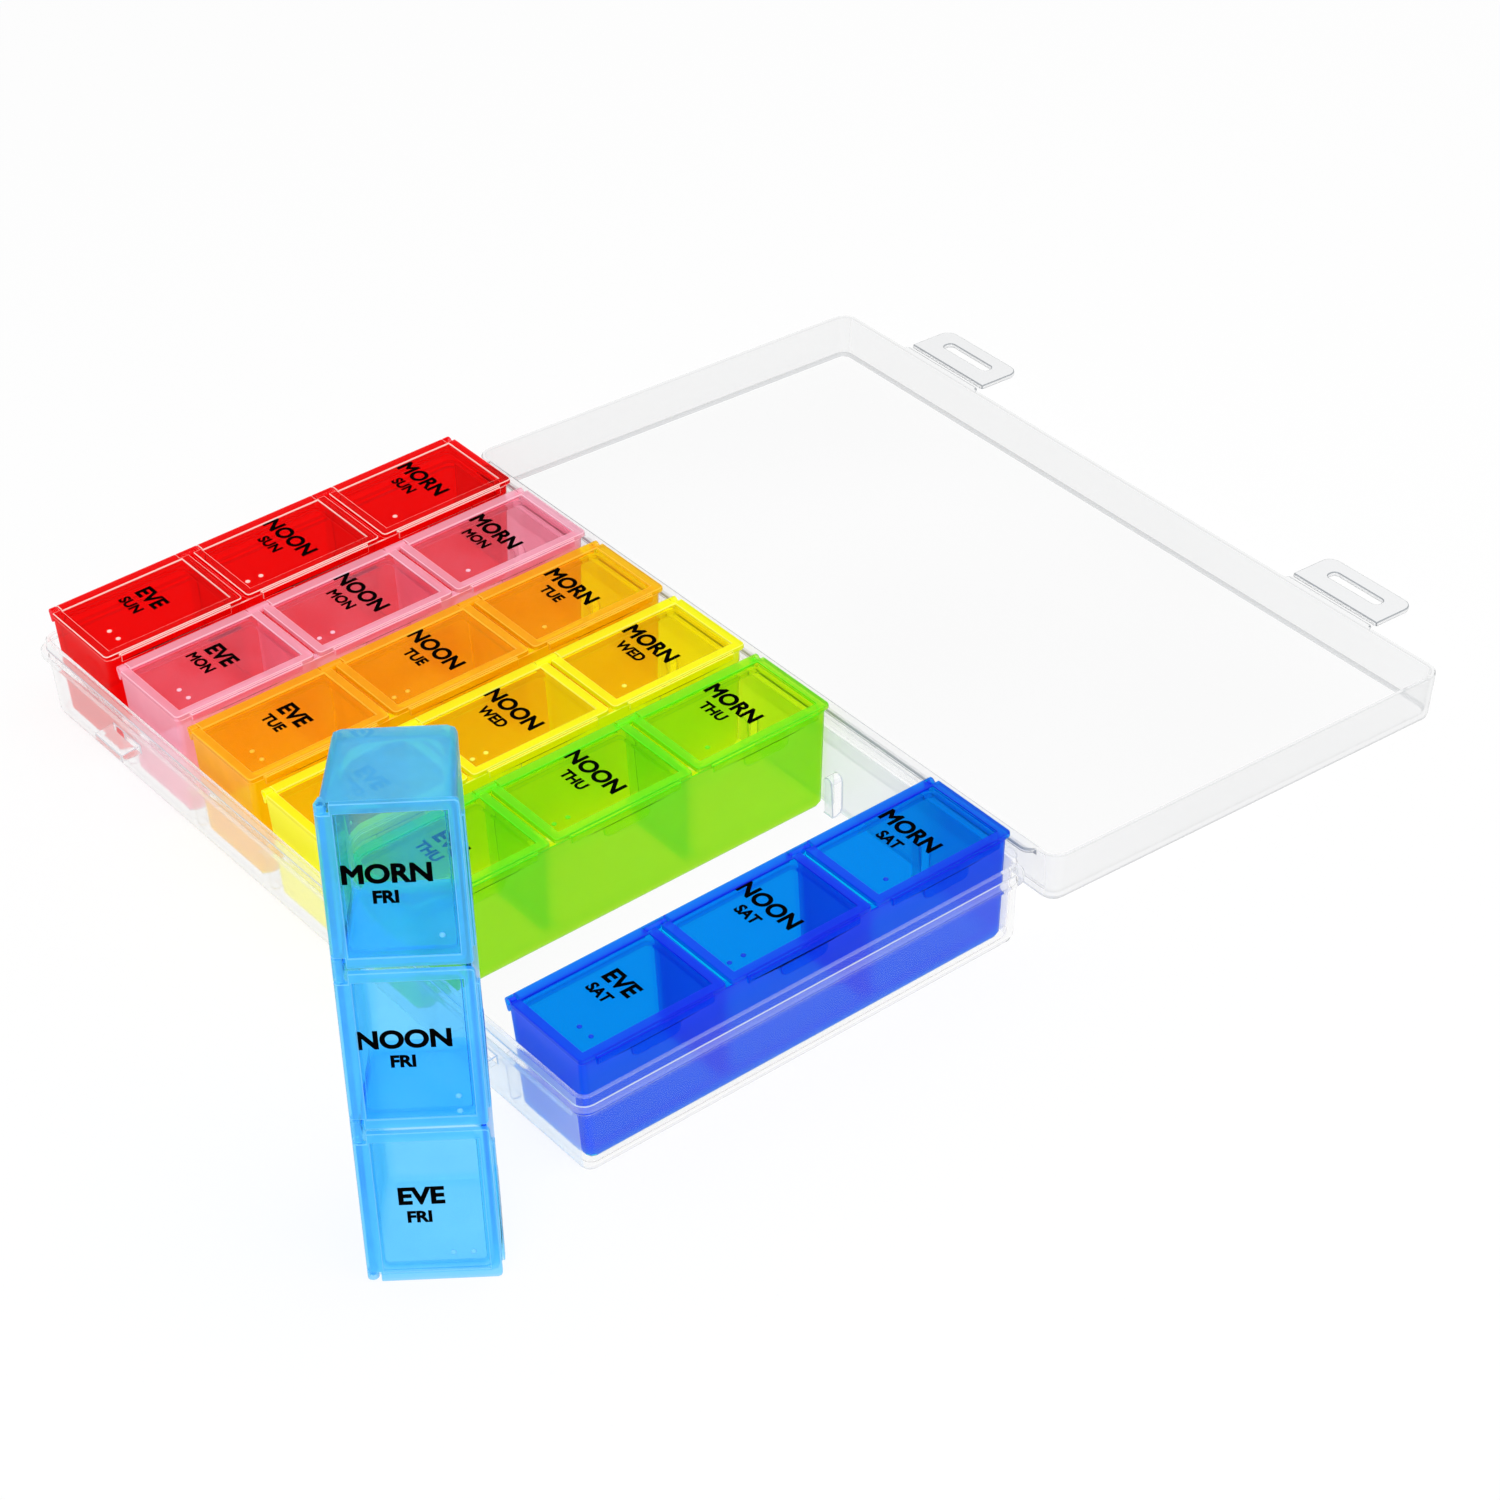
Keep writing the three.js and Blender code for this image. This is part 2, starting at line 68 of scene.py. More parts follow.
view = {
    "azimuth": 53.2,  # degrees
    "elevation": 36.79,
    "roll": 2.48,
    "distance": 0.93614,  # metres
    "target": Vector((0.01359, 0.05787, 0)),
    "focalPixels": 3976.85,
    "imagePixels": 1500,
    "sensor": 36,  # millimetres
    "nearest": 0.05,
    "farthest": 50,
}


def makeCamera():
    azimuth, elevation, roll = (math.radians(view[key]) for key in ("azimuth", "elevation", "roll"))
    forward = Vector((
        -math.sin(azimuth) * math.cos(elevation),
        math.cos(azimuth) * math.cos(elevation),
        -math.sin(elevation),
    ))
    right = forward.cross(Vector((0, 0, 1))).normalized()
    up = right.cross(forward)
    tiltedRight = right * math.cos(roll) - up * math.sin(roll)
    tiltedUp = up * math.cos(roll) + right * math.sin(roll)
    data = bpy.data.cameras.new("camera")
    data.sensor_width = view["sensor"]
    data.lens = view["focalPixels"] / view["imagePixels"] * view["sensor"]
    data.clip_start = view["nearest"]
    data.clip_end = view["farthest"]
    camera = bpy.data.objects.new("camera", data)
    turn = Matrix((tiltedRight, tiltedUp, -forward)).transposed().to_4x4()
    camera.matrix_world = Matrix.Translation(view["target"] - forward * view["distance"]) @ turn
    bpy.context.scene.collection.objects.link(camera)
    bpy.context.scene.camera = camera


makeCamera()
bpy.context.scene.view_settings.view_transform = "Standard"
print("camera placed")


# Shader helpers

# A shader socket that takes part in sums
class Wire:
    def __init__(self, tree, socket):
        self.tree = tree
        self.socket = socket

    def maths(self, operation, first, second):
        node = self.tree.nodes.new("ShaderNodeMath")
        node.operation = operation
        for slot, value in enumerate((first, second)):
            plug(self.tree, node.inputs[slot], value)
        return Wire(self.tree, node.outputs[0])

    def __add__(self, other):
        return self.maths("ADD", self, other)

    __radd__ = __add__

    def __sub__(self, other):
        return self.maths("SUBTRACT", self, other)

    def __rsub__(self, other):
        return self.maths("SUBTRACT", other, self)

    def __mul__(self, other):
        return self.maths("MULTIPLY", self, other)

    __rmul__ = __mul__


def plug(tree, socket, value):
    if isinstance(value, Wire):
        tree.links.new(value.socket, socket)
    else:
        socket.default_value = value


class Finish:
    def __init__(self, name):
        self.material = bpy.data.materials.new(name)
        self.material.use_nodes = True
        self.tree = self.material.node_tree
        self.tree.nodes.clear()

    def node(self, kind, settings=None, sockets=None, output=0):
        made = self.tree.nodes.new("ShaderNode" + kind)
        for key, value in (settings or {}).items():
            setattr(made, key, value)
        for key, value in (sockets or {}).items():
            plug(self.tree, made.inputs[key], value)
        return Wire(self.tree, made.outputs[output])

    def noise(self, place, scale, detail):
        return self.node("TexNoise", None, {"Vector": place, "Scale": scale, "Detail": detail})

    def spread(self, low, high, mask):
        return self.node("MapRange", None, {"Value": mask, "To Min": low, "To Max": high})

    # A Mix node keeps its colours in sockets 6 and 7 and gives them in output 2
    def blendColour(self, first, second, factor):
        return self.node("Mix", {"data_type": "RGBA"}, {0: factor, 6: first, 7: second}, 2)

    def blendShader(self, first, second, factor):
        return self.node("MixShader", None, {0: factor, 1: first, 2: second})

    def show(self, surface, volume=None):
        end = self.tree.nodes.new("ShaderNodeOutputMaterial")
        plug(self.tree, end.inputs["Surface"], surface)
        if volume:
            plug(self.tree, end.inputs["Volume"], volume)
        return self.material


# A written colour as amounts of light, by the usual sRGB curve
def paint(hexColour):
    channels = [int(hexColour[i:i + 2], 16) / 255 for i in (1, 3, 5)]
    return tuple(c / 12.92 if c <= 0.04045 else ((c + 0.055) / 1.055) ** 2.4 for c in channels) + (1,)


def power(tint, exponent):
    return tuple(c ** exponent for c in tint[:3]) + (1,)


# Plastics

# Day plastics: what one wall lets through, the milky colour and its share on rims, the colour and share of
# the painted highlight and shade lines on edges, and the haze
dayColours = {
    "sun": ("#fa2c36", ("#ec0808", 0.15), ("#ffd0c8", 1.0), 0.02),
    "mon": ("#fddae4", ("#fcb4c8", 0.5), ("#ffc8d8", 0.8), 0.09),
    "tue": ("#fff858", ("#ffb000", 0.45), ("#ffc43c", 0.7), 0.17),
    "wed": ("#fff864", ("#ffff00", 0.7), ("#ffff60", 0.8), 0.04),
    "thu": ("#f2fc78", ("#64f010", 0.5), ("#60ec18", 0.8), 0.03),
    "fri": ("#c0f0ff", ("#52c0fc", 0.4), ("#74caff", 0.6), 0.17),
    "sat": ("#1cd2fa", ("#0034ec", 0.6), ("#0020dc", 0.8), 0.01),
}

dayPlastic = {
    "wall": 1.1 * mm,
    "surfaceShare": 0.25,  # how much of the tint is taken at the surface
    "ior": 1.03,
    "roughness": (0.03, 0.08),
    "gloss": 0.1,
    "rimDepth": 1.5,  # how much deeper the tint is on rims
    "cloudScale": 90,  # haze and roughness
    "grainScale": 900,  # fine bumps
    "grainHeight": 0.01 * mm,
    "driftScale": 20,  # slow change of the tint
    "driftDepth": 1.2,  # how much deeper it gets
}

# Frosted plastics of the case, written the same way; their edge colours are painted grey shade lines
caseColours = {
    "tray": ("#fefefe", ("#f6f6f6", 0.6), ("#d4d8de", 0.7), 0.01),
    "lid": ("#fefefe", ("#e8e9ea", 0.6), ("#a8acb0", 0.75), 0.01),
}

casePlastic = {
    "wall": 1.1 * mm,
    "surfaceShare": 0.5,
    "ior": 1.05,
    "roughness": (0.14, 0.2),
    "gloss": 0.05,
    "rimDepth": 1,
    "cloudScale": 30,
    "grainScale": 1400,
    "grainHeight": 0.02 * mm,
    "driftScale": 7,
    "driftDepth": 8,
}

# What all these plastics share
sharedLook = {
    "cloudDetail": 3.0,
    "grainDetail": 2.0,
    "grainStrength": 0.3,
    "driftDetail": 1.0,
    "driftSpread": (-1, 2),  # a strong contrast
    "addedRoughness": 0.3,  # where it is milky
    "milkSpecular": 0.2,
    "shadowDepth": 0.5,
}

inkLook = {
    "dark": "#000000",
    "light": "#080808",
    "grainScale": 2500.0,
    "grainDetail": 2.0,
    "roughness": (0.5, 0.75),
    "specular": 0.0,
}


# Walls let light through, and rims turn milky where they face outwards. Where they face outwards, rounded
# edges and the other edge-marked faces also take the edge colour as painted highlight and shade lines. Part
# of the wall's tint is taken on the surface, the rest on the way through, so thick places look deeper
def clearPlastic(name, wallTint, rim, edge, haze, values):
    finish = Finish(name)
    tint = power(paint(wallTint), values["surfaceShare"])
    place = finish.node("TexCoord", None, None, "Object")
    cloud = finish.noise(place, values["cloudScale"], sharedLook["cloudDetail"])
    grain = finish.noise(place, values["grainScale"], sharedLook["grainDetail"])
    drift = finish.noise(place, values["driftScale"], sharedLook["driftDetail"])
    bump = finish.node("Bump", None, {
        "Height": grain,
        "Distance": values["grainHeight"],
        "Strength": sharedLook["grainStrength"],
    })
    roughness = finish.spread(*values["roughness"], cloud)
    onRim = finish.node("Attribute", {"attribute_name": "rim"}, None, "Fac")
    # the edge mark: where the painted highlight and shade lines go
    onPaintedEdgeLine = finish.node("Attribute", {"attribute_name": "edge"}, None, "Fac")
    drifted = finish.blendColour(tint, power(tint, values["driftDepth"]),
                                 finish.spread(*sharedLook["driftSpread"], drift))
    clear = finish.node("BsdfPrincipled", None, {
        "Base Color": finish.blendColour(drifted, power(tint, values["rimDepth"]), onRim),
        "Roughness": roughness,
        "IOR": values["ior"],
        "Transmission Weight": 1.0,
        "Coat Weight": values["gloss"],
        "Normal": bump,
    })
    milk = finish.node("BsdfPrincipled", None, {
        "Base Color": finish.blendColour(paint(rim[0]), paint(edge[0]), onPaintedEdgeLine),
        "Roughness": roughness + sharedLook["addedRoughness"],
        "Specular IOR Level": sharedLook["milkSpecular"],
        "Normal": bump,
    })
    hazeShare = finish.spread(0, 2 * haze, cloud)  # the noise is about a half on average
    outside = 1 - finish.node("NewGeometry", None, None, "Backfacing")
    milkShare = (onRim * rim[1] + onPaintedEdgeLine * edge[1] + hazeShare) * outside
    body = finish.blendShader(clear, milk, milkShare)
    shade = finish.node("BsdfTransparent", None, {"Color": power(tint, sharedLook["shadowDepth"])})
    inShadow = finish.node("LightPath", None, None, "Is Shadow Ray")
    loss = [-math.log(c) * (1 - values["surfaceShare"]) / values["wall"] for c in paint(wallTint)[:3]]
    density = max(loss)
    depth = finish.node("VolumeAbsorption", None, {
        "Color": tuple(1 - c / density for c in loss) + (1,),
        "Density": density,
    })
    return finish.show(finish.blendShader(body, shade, inShadow), depth)


def inkFinish():
    finish = Finish("black ink")
    place = finish.node("TexCoord", None, None, "Object")
    grain = finish.noise(place, inkLook["grainScale"], inkLook["grainDetail"])
    return finish.show(finish.node("BsdfPrincipled", None, {
        "Base Color": finish.blendColour(paint(inkLook["dark"]), paint(inkLook["light"]), grain),
        "Roughness": finish.spread(*inkLook["roughness"], grain),
        "Specular IOR Level": inkLook["specular"],
    }))


plastics = {
    day: clearPlastic("clear plastic " + day, *colours, dayPlastic)
    for day, colours in dayColours.items()
}
frosted = {
    part: clearPlastic("frosted plastic " + part, *colours, casePlastic)
    for part, colours in caseColours.items()
}
ink = inkFinish()
print("materials made")


# Shapes shared by the pieces

shaping = {
    "mergeDistance": 0.001 * mm,
    "flatAngle": 0.5,  # degrees, below which two faces become one
    "sharpAngle": 60,  # above which an edge is rounded
    "smoothAngle": 52,  # below which an edge is shaded smooth
    "roundSegments": 2,
    "roundProfile": 0.5,
}

# How much of a face's normal points one way
facing = {
    "wall": 0.5,  # a wall has less than this upwards
    "flat": 0.9,  # a face that looks one way has more than this
}


def jointNamed(name):
    return next(joint for joint in frame["joints"] if joint["name"] == name)


def newWork():
    work = bmesh.new()
    for mark in ("rim", "edge"):
        work.faces.layers.float.new(mark)
    return work


def meshCopy(node):
    work = newWork()
    work.from_mesh(node.data)
    bmesh.ops.remove_doubles(work, verts=work.verts, dist=shaping["mergeDistance"])
    bmesh.ops.dissolve_limit(work, angle_limit=math.radians(shaping["flatAngle"]), verts=work.verts,
                             edges=work.edges)
    return work


def markFaces(work, mark, faces, amount=1):
    layer = work.faces.layers.float[mark]
    for face in faces:
        face[layer] = amount


# Marks the faces whose normal and centre pass the test
def markWhere(work, mark, amount, test):
    faces = [face for face in work.faces if test(face.normal, face.calc_center_median())]
    markFaces(work, mark, faces, amount)


# Rounds the sharp edges that are longer than the shortest, and marks the new faces for the painted highlight
# and shade lines
def roundEdges(work, width, shortest, keepSharp=None):
    edges = [
        edge for edge in work.edges
        if edge.calc_face_angle(0) > math.radians(shaping["sharpAngle"]) and edge.calc_length() > shortest
        and not (keepSharp and any(keepSharp(vert.co) for vert in edge.verts))
    ]
    rounded = bmesh.ops.bevel(work, geom=edges, offset=width, offset_type="OFFSET",
                              segments=shaping["roundSegments"], profile=shaping["roundProfile"],
                              affect="EDGES", clamp_overlap=False, material=-1)["faces"]
    markFaces(work, "edge", rounded)


def finishPiece(work, name, material, body, replaced=()):
    mesh = bpy.data.meshes.new(name)
    for face in work.faces:
        face.smooth = True
    for edge in work.edges:
        edge.smooth = edge.calc_face_angle(0) < math.radians(shaping["smoothAngle"])
    work.to_mesh(mesh)
    work.free()
    mesh.materials.append(material)
    piece = bpy.data.objects.new(name, mesh)
    bpy.context.scene.collection.objects.link(piece)
    flats = piece.modifiers.new("even flats", "WEIGHTED_NORMAL")
    flats.keep_sharp = True
    if body:
        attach(piece, body)
    for node in replaced:
        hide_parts(node)
    return piece


# Frosted case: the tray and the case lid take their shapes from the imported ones, with rounded edges

casePieces = {
    "tray": {
        "body": "case",
        "plastic": "tray",
        "rounding": 0.22 * mm,
        "shortestRounded": 0.8 * mm,
        "slantPaintedShade": 0.3,
        "wallMilk": 0.05,
        "longSideMilk": 0.65,
        "topMilk": 0.3,
    },
    "case_lid": {
        "body": "lid",
        "plastic": "lid",
        "rounding": 0.45 * mm,
        "shortestRounded": 0.6 * mm,
        "slantPaintedShade": 0.45,
        "wallMilk": 0.5,
        "longSideMilk": 0.4,
        "topMilk": 0.5,
    },
}

caseFaces = {
    "slant": (0.25, 0.92),  # how much of a slanting face's normal points up or down
    "topFrom": 10 * mm,  # the height above which a level face is a top
}

# The latches are made again with rounder corners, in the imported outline. What is low and high is counted
# from the fold
latch = {
    "width": 28 * mm,
    "low": 0.8 * mm,
    "high": 13.6 * mm,
    "corner": 3 * mm,
    "thickness": 1.2 * mm,
    "slotWidth": 17 * mm,
    "slotLow": 6.2 * mm,
    "slotHigh": 9.5 * mm,
    "slotCorner": 1.4 * mm,
    "cornerSteps": 6,
    "rounding": 0.25 * mm,
    "shortestRounded": 0.2 * mm,
    "milk": 0.8,
    "shade": 0.08,
}

foldStrip = {
    "reach": 0.79 * mm,  # on each side of the fold
    "thickness": 0.42 * mm,
    "waistShare": 0.55,  # how much of the thickness is left at the fold
    "hingeLength": 202.4 * mm,
    "hingeDrop": 0.75 * mm,
    "latchLength": 27.6 * mm,
    "steps": 10,
    "bendShare": 0.9,  # how much of the reach bends
}

# How far past level the open case lid lies
droop = math.radians(-jointNamed("case_lid_hinge")["range_deg"][0] - 180)


def foldFrame(name):
    return Matrix.Translation(jointNamed(name)["pos_m"]) @ Matrix.Rotation(-droop, 4, "X")


def makeCasePiece(name, values):
    work = meshCopy(nodes[name])
    least, most = caseFaces["slant"]  # narrow slanting faces take the grey edge colour too, as painted soft shade lines
    markWhere(work, "edge", values["slantPaintedShade"], lambda normal, centre: least < abs(normal.z) < most)
    roundEdges(work, values["rounding"], values["shortestRounded"])
    markWhere(work, "rim", values["wallMilk"], lambda normal, centre: abs(normal.z) < facing["wall"])
    markWhere(work, "rim", values["longSideMilk"], lambda normal, centre: abs(normal.y) > facing["flat"])
    markWhere(work, "rim", values["topMilk"],
              lambda normal, centre: normal.z > facing["flat"] and centre.z > caseFaces["topFrom"])
    finishPiece(work, name + "_moulded", frosted[values["plastic"]], values["body"], [name])


# A ring of edges round a rectangle, whose corners have one radius at the low end and one at the high end
def roundedRing(work, width, low, high, lowRadius, highRadius):
    steps = latch["cornerSteps"]
    ring = bmesh.ops.create_circle(work, segments=4 * steps, radius=1)["verts"]
    for index, vert in enumerate(ring):
        quarter, step = divmod(index, steps)
        angle = math.radians(90 * (quarter + step / (steps - 1)))
        radius = highRadius if quarter < 2 else lowRadius
        x = (width / 2 - radius) * (1 if quarter in (0, 3) else -1)
        y = high - radius if quarter < 2 else low + radius
        vert.co = (x + radius * math.cos(angle), y + radius * math.sin(angle), -latch["thickness"] / 2)


def makeLatch(name):
    work = newWork()
    roundedRing(work, latch["width"], latch["low"], latch["high"], 0, latch["corner"])
    roundedRing(work, latch["slotWidth"], latch["slotLow"], latch["slotHigh"], latch["slotCorner"],
                latch["slotCorner"])
    bmesh.ops.bridge_loops(work, edges=work.edges)
    bmesh.ops.remove_doubles(work, verts=work.verts, dist=shaping["mergeDistance"])
    raised = bmesh.ops.extrude_face_region(work, geom=work.faces[:])["geom"]
    raisedVerts = [part for part in raised if isinstance(part, bmesh.types.BMVert)]
    bmesh.ops.translate(work, vec=(0, 0, latch["thickness"]), verts=raisedVerts)
    bmesh.ops.recalc_face_normals(work, faces=work.faces)
    # every face takes a little of the grey edge colour as an even tint; the rounded edges then take it in
    # full as painted shade lines
    markFaces(work, "edge", work.faces, latch["shade"])
    roundEdges(work, latch["rounding"], latch["shortestRounded"])
    markFaces(work, "rim", work.faces, latch["milk"])
    bmesh.ops.transform(work, matrix=foldFrame(name + "_fold"), verts=work.verts)
    finishPiece(work, name + "_moulded", frosted["lid"], name, [name])


# A strip thinned along its middle, which bends where two pieces fold
def makeFoldStrip(name, length, place, bodies, replaced=()):
    reach = foldStrip["reach"]
    work = newWork()
    bmesh.ops.create_cube(work, size=1)
    bmesh.ops.scale(work, vec=(length, 2 * reach, foldStrip["thickness"]), verts=work.verts)
    across = [edge for edge in work.edges if abs(edge.verts[0].co.y - edge.verts[1].co.y) > reach]
    bmesh.ops.subdivide_edges(work, edges=across, cuts=foldStrip["steps"] - 1, use_grid_fill=True)
    for vert in work.verts:
        share = math.cos(vert.co.y / reach * math.pi / 2) ** 2
        vert.co.z *= 1 - share * (1 - foldStrip["waistShare"])
    bmesh.ops.transform(work, matrix=place, verts=work.verts)
    strip = finishPiece(work, name, frosted["tray"], None, replaced)
    bendEnd = Vector((0, reach * foldStrip["bendShare"], 0))
    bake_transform(strip, *bodies, start=place @ -bendEnd, end=place @ bendEnd)


for name, values in casePieces.items():
    makeCasePiece(name, values)
for name in ("latch_left", "latch_right"):
    makeLatch(name)
    makeFoldStrip(name + "_fold_strip", foldStrip["latchLength"], foldFrame(name + "_fold"), ("lid", name))
hingeLine = Vector(jointNamed("case_lid_hinge")["pos_m"])
hingePlace = Matrix.Translation(hingeLine - Vector((0, 0, foldStrip["hingeDrop"])))
makeFoldStrip("hinge_strip", foldStrip["hingeLength"], hingePlace, ("case", "lid"), ["living_hinge"])
print("case moulded")


# Day boxes, measured from the middle of the foot: X towards the thumb tabs, Y along the box

dayBox = {
    "rounding": 0.22 * mm,
    "shortestRounded": 0.5 * mm,
    "earFront": -10.6 * mm,  # the hinge ears are behind this and above their foot
    "earFoot": 24.9 * mm,
    "fieldHeight": 28.65 * mm,  # of the shut lids' clear fields
    "endStart": 54 * mm,  # partitions are nearer the middle than this
    "sideStart": 11 * mm,  # outer sides and ends are further out than these
    "outerEnd": 56 * mm,
    "wallMilk": 0.2,
    "partitionMilk": 0.8,
    "earMilk": 1,
    "sideMilk": 1.2,
}

# Small lids, measured from their middle, at the height of the clear field
dayLid = {
    "rounding": 0.2 * mm,
    "shortestRounded": 0.35 * mm,
    "fieldShift": 0.6 * mm,  # from the lid's middle to the field's
    "fieldEdge": 0.02 * mm,  # edges this near to the field's height stay sharp
    "rimTop": 0.3 * mm,  # faces that look up are rim above this
    "rimFoot": -1 * mm,  # and the others above this
    "rimFacing": 0.7,
    "barrelFront": -11.8 * mm,
    "lowShare": 0.7,  # how much of the painted edge line shows under the plate
    "pipRadius": 0.62 * mm,
    "pipHeight": 0.28 * mm,
    "pipSegments": 16,
    "pipRings": 8,
    "pipRows": {
        "eve": ((4.2 * mm, -12.2 * mm), (8.2 * mm, -12.2 * mm)),
        "noon": ((8.2 * mm, -11.7 * mm), (8.2 * mm, -15.4 * mm)),
        "morn": ((8.1 * mm, -12.0 * mm),),
    },
}


# The clear field is the lid's largest face. The origin is moved from its middle to the middle of the lid
def lidFrame(day, time):
    work = meshCopy(nodes[f"lid_{day}_{time}"])
    field = max(work.faces, key=lambda face: face.calc_area())
    centre, up = field.calc_center_bounds(), field.normal.copy()
    work.free()
    along = -Vector(jointNamed(f"lid_{day}_{time}_hinge")["axis"]).normalized()
    across = along.cross(up).normalized()
    turn = Matrix((across, along, up)).transposed().to_4x4()
    return Matrix.Translation(centre) @ turn @ Matrix.Translation((-dayLid["fieldShift"], 0, 0))


def onEar(point):
    return point.x < dayBox["earFront"] and point.z > dayBox["earFoot"]


# Outer sides and ends look away from the middle
def onOuterSide(normal, centre):
    return (centre.x * normal.x > facing["flat"] * dayBox["sideStart"]
            or centre.y * normal.y > facing["flat"] * dayBox["outerEnd"])


def makeBox(day):
    place = lidFrame(day, "noon") @ Matrix.Translation((0, 0, -dayBox["fieldHeight"]))
    work = meshCopy(nodes["box_" + day])
    bmesh.ops.transform(work, matrix=place.inverted(), verts=work.verts)
    roundEdges(work, dayBox["rounding"], dayBox["shortestRounded"], keepSharp=onEar)
    markWhere(work, "rim", dayBox["wallMilk"], lambda normal, centre: abs(normal.z) < facing["wall"])
    markWhere(work, "rim", dayBox["partitionMilk"],
              lambda normal, centre: abs(normal.y) > facing["flat"] and abs(centre.y) < dayBox["endStart"])
    markWhere(work, "rim", dayBox["earMilk"], lambda normal, centre: onEar(centre))
    markWhere(work, "rim", dayBox["sideMilk"], onOuterSide)
    bmesh.ops.transform(work, matrix=place, verts=work.verts)
    finishPiece(work, f"box_{day}_moulded", plastics[day], "box_" + day, ["box_" + day])


# The raised rim round the clear field is milky, and so are the plate's sides, the front strip and the barrel.
# The step up to the rim takes a painted highlight and shade line, and these lines are weaker below the plate
def markLid(work):
    paintedEdgeLayer = work.faces.layers.float["edge"]
    rim = []
    for face in work.faces:
        foot = dayLid["rimTop"] if face.normal.z > dayLid["rimFacing"] else dayLid["rimFoot"]
        if not face[paintedEdgeLayer] and face.calc_center_median().z > foot:
            rim.append(face)
    markFaces(work, "rim", rim)
    markWhere(work, "rim", 1, lambda normal, centre: centre.x < dayLid["barrelFront"])
    # below the plate the painted edge lines are weaker
    for face in work.faces:
        if face.calc_center_median().z < dayLid["rimFoot"]:
            face[paintedEdgeLayer] *= dayLid["lowShare"]
    markWhere(work, "edge", 1,  # the step from the field up to the rim
              lambda normal, centre: abs(normal.z) < facing["wall"] and 0 < centre.z < dayLid["rimTop"])


# Small raised dots in a corner of the field, coloured in full with the painted highlight and shade colour of
# the edges
def addPips(work, time):
    for x, y in dayLid["pipRows"][time]:
        pip = bmesh.ops.create_uvsphere(work, u_segments=dayLid["pipSegments"], v_segments=dayLid["pipRings"],
                                        radius=dayLid["pipRadius"])["verts"]
        bmesh.ops.scale(work, vec=(1, 1, dayLid["pipHeight"] / dayLid["pipRadius"]), verts=pip)
        bmesh.ops.translate(work, vec=(x, y, 0), verts=pip)
        markFaces(work, "edge", {face for vert in pip for face in vert.link_faces})


def makeLid(day, time):
    place = lidFrame(day, time)
    node = f"lid_{day}_{time}"
    work = meshCopy(nodes[node])
    bmesh.ops.transform(work, matrix=place.inverted(), verts=work.verts)
    roundEdges(work, dayLid["rounding"], dayLid["shortestRounded"],
               keepSharp=lambda point: abs(point.z) < dayLid["fieldEdge"])
    markLid(work)
    addPips(work, time)
    bmesh.ops.transform(work, matrix=place, verts=work.verts)
    finishPiece(work, node + "_moulded", plastics[day], node, [node])


for day in days:
    makeBox(day)
    for time in times:
        makeLid(day, time)
print("boxes and lids moulded")


# Words on the lids, in the built-in font, placed from the same origin as the lids

words = {
    "timeSize": 5.85 * mm,
    "daySize": 3.9 * mm,
    "timeBold": 0.24 * mm,
    "dayBold": 0.18 * mm,
    "thickness": 0.02 * mm,  # of the ink
    "timeX": -1.2 * mm,
    "dayX": -1.8 * mm,
    "timeY": 2.45 * mm,
    "dayY": -2.8 * mm,
    "lift": 0.015 * mm,  # above the clear field
    "curveSteps": 6,
}


# The bevel makes the strokes bold, and its height is then pressed down to the ink's thickness
def wordMesh(text, size, bold):
    curve = bpy.data.curves.new("word", "FONT")
    curve.body = text
    curve.size = size
    curve.align_x = "CENTER"
    curve.align_y = "CENTER"
    curve.bevel_depth = bold
    curve.bevel_resolution = 0
    curve.resolution_u = words["curveSteps"]
    carrier = bpy.data.objects.new("word", curve)
    bpy.context.scene.collection.objects.link(carrier)
    bpy.context.view_layer.update()
    mesh = bpy.data.meshes.new_from_object(carrier.evaluated_get(bpy.context.evaluated_depsgraph_get()))
    bpy.data.objects.remove(carrier)
    bpy.data.curves.remove(curve)
    mesh.transform(Matrix.Diagonal((1, 1, words["thickness"] / 2 / bold, 1)))
    return mesh


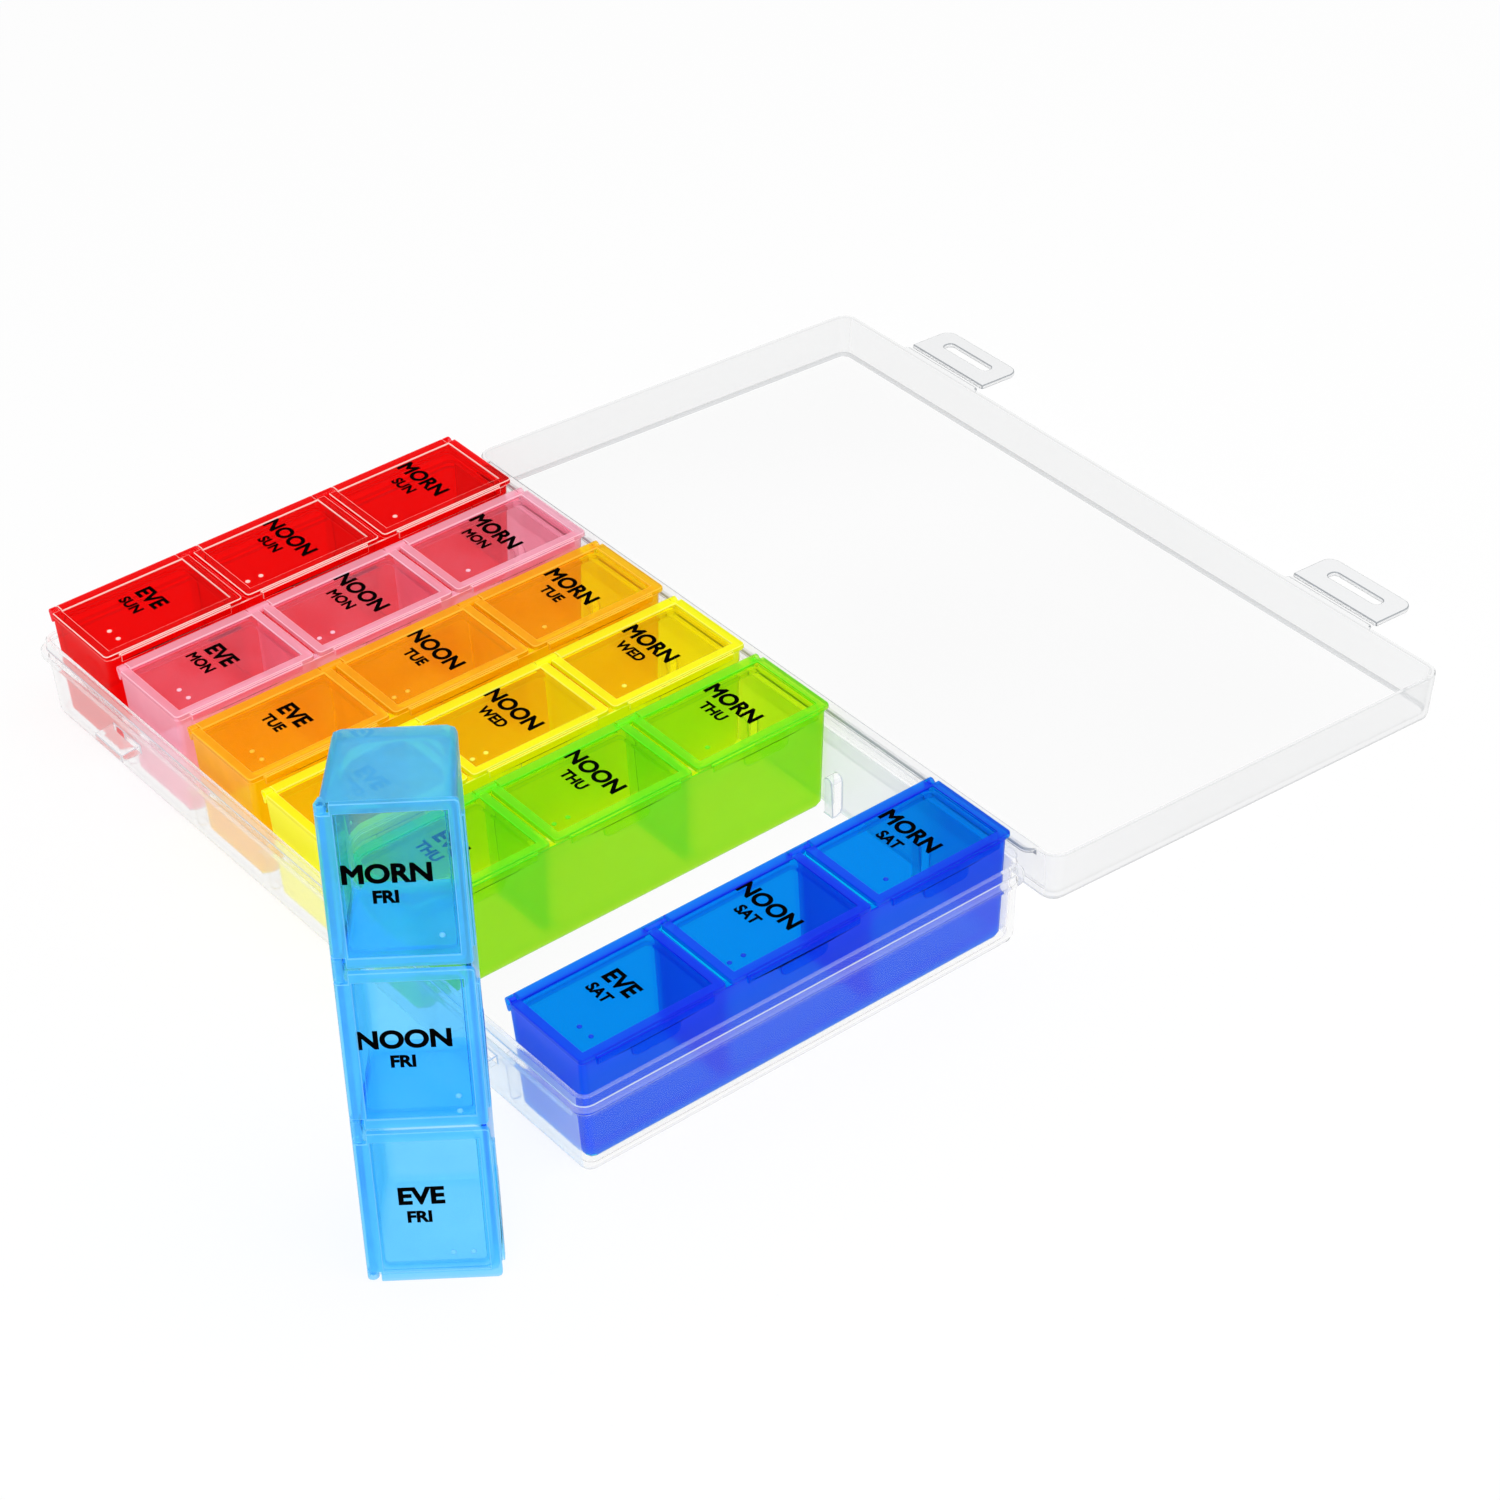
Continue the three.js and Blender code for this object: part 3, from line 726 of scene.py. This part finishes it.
def makeLabel(day, time):
    work = bmesh.new()
    rise = words["lift"] + words["thickness"] / 2
    for text, part in ((time, "time"), (day, "day")):
        mesh = wordMesh(text.upper(), words[part + "Size"], words[part + "Bold"])
        mesh.transform(Matrix.Translation((words[part + "X"], words[part + "Y"], rise)))
        work.from_mesh(mesh)
        bpy.data.meshes.remove(mesh)
    bmesh.ops.transform(work, matrix=lidFrame(day, time), verts=work.verts)
    finishPiece(work, f"label_{day}_{time}", ink, f"lid_{day}_{time}")


for day in days:
    for time in times:
        makeLabel(day, time)
print("words printed")


# Floor and light, in metres and watts

studio = {
    "floorColour": "#f6f6f6",
    "floorSize": 4,
    "whiteToCamera": 0.88,  # how much of the floor shows as plain white to each kind of ray
    "whiteThrough": 0.96,
    "worldStrength": 0.56,
    "lamps": {
        "key": {"place": (0.4, 0.3, 1.4), "aim": (0, 0, 0), "size": 0.9, "power": 8},
        "fill": {"place": (0.7, -0.9, 0.9), "aim": (0, 0, 0), "size": 0.8, "power": 8},
    },
}


def makeFloor():
    finish = Finish("white floor")
    lit = finish.node("BsdfDiffuse", None, {"Color": paint(studio["floorColour"])})
    white = finish.node("Emission", None, {"Color": (1, 1, 1, 1), "Strength": 1.0})
    seen = finish.node("LightPath", None, None, "Is Camera Ray")
    glossy = finish.node("LightPath", None, None, "Is Glossy Ray")
    through = finish.node("LightPath", None, None, "Is Transmission Ray")
    share = seen * studio["whiteToCamera"] + (glossy + through) * studio["whiteThrough"]
    work = bmesh.new()
    bmesh.ops.create_grid(work, x_segments=1, y_segments=1, size=studio["floorSize"])
    floor = finishPiece(work, "floor", finish.show(finish.blendShader(lit, white, share)), None)


def makeWorld():
    world = bpy.data.worlds.new("studio")
    bpy.context.scene.world = world
    world.use_nodes = True
    background = world.node_tree.nodes["Background"]
    background.inputs["Color"].default_value = (1, 1, 1, 1)
    background.inputs["Strength"].default_value = studio["worldStrength"]


def makeLamp(name, values):
    data = bpy.data.lights.new(name, "AREA")
    data.shape = "SQUARE"
    data.size = values["size"]
    data.energy = values["power"]
    lamp = bpy.data.objects.new(name, data)
    lamp.location = values["place"]
    lamp.rotation_mode = "QUATERNION"
    lamp.rotation_quaternion = (Vector(values["aim"]) - Vector(values["place"])).to_track_quat("-Z", "Y")
    bpy.context.scene.collection.objects.link(lamp)


makeFloor()
makeWorld()
for name, values in studio["lamps"].items():
    makeLamp(name, values)
print("stage lit")
